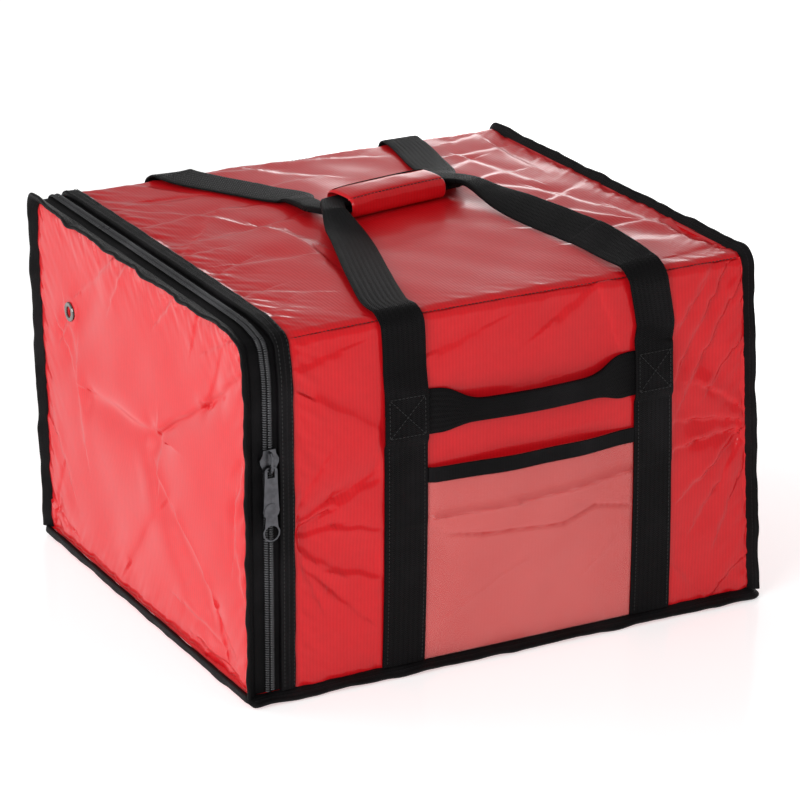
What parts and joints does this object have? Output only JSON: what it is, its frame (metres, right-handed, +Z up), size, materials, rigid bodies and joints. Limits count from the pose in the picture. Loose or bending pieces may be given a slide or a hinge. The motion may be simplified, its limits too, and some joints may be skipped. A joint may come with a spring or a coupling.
{
  "type": "insulated delivery bag",
  "caption": "Soft-sided insulated food delivery bag: padded red vinyl box, zipped end flap, black webbing carry straps with a wrapped grip, side handle and clear ticket pocket.",
  "frame": {"origin": "on the floor under the middle of the bag, on the flat of its bottom panel", "axes": "+X along the front from the zipped flap to the sewn end, +Y from the front with the ticket pocket to the back, +Z up"},
  "size_m": [0.4788, 0.4362, 0.3294],
  "materials": {
    "red_vinyl": "finely ribbed glossy vinyl over padding",
    "black_tape": "woven binding and zipper tape",
    "black_coil": "nylon coil chain",
    "black_webbing": "coarse woven webbing",
    "clear_sheet": "clear soft plastic sheet",
    "grey_metal": "satin plated metal"
  },
  "bodies": {
    "bag": {"front_panel": "red_vinyl", "top_panel": "red_vinyl", "back_panel": "red_vinyl", "bottom_panel": "red_vinyl", "sewn_end_panel": "red_vinyl", "flap_panel": "red_vinyl", "vent_eyelet": "grey_metal", "flap_binding": "black_tape", "sewn_end_binding": "black_tape", "bottom_binding": "black_tape", "zipper_tape_flap": "black_tape", "zipper_tape_body": "black_tape", "zipper_chain": "black_coil", "zipper_binding": "black_tape", "zipper_slider": "grey_metal", "front_strap": "black_webbing", "back_strap": "black_webbing", "handle_grip": "red_vinyl", "side_handle": "black_webbing", "ticket_pocket": "clear_sheet", "pocket_binding": "black_tape"},
    "pull": {"zipper_pull": "grey_metal"}
  },
  "joints": [
    {"name": "pull_swing", "type": "hinge", "parent": "bag", "child": "pull", "pos_m": [-0.21575, -0.20616, 0.201], "axis": [-1, 0, 0], "range_deg": [0, 135]}
  ]
}
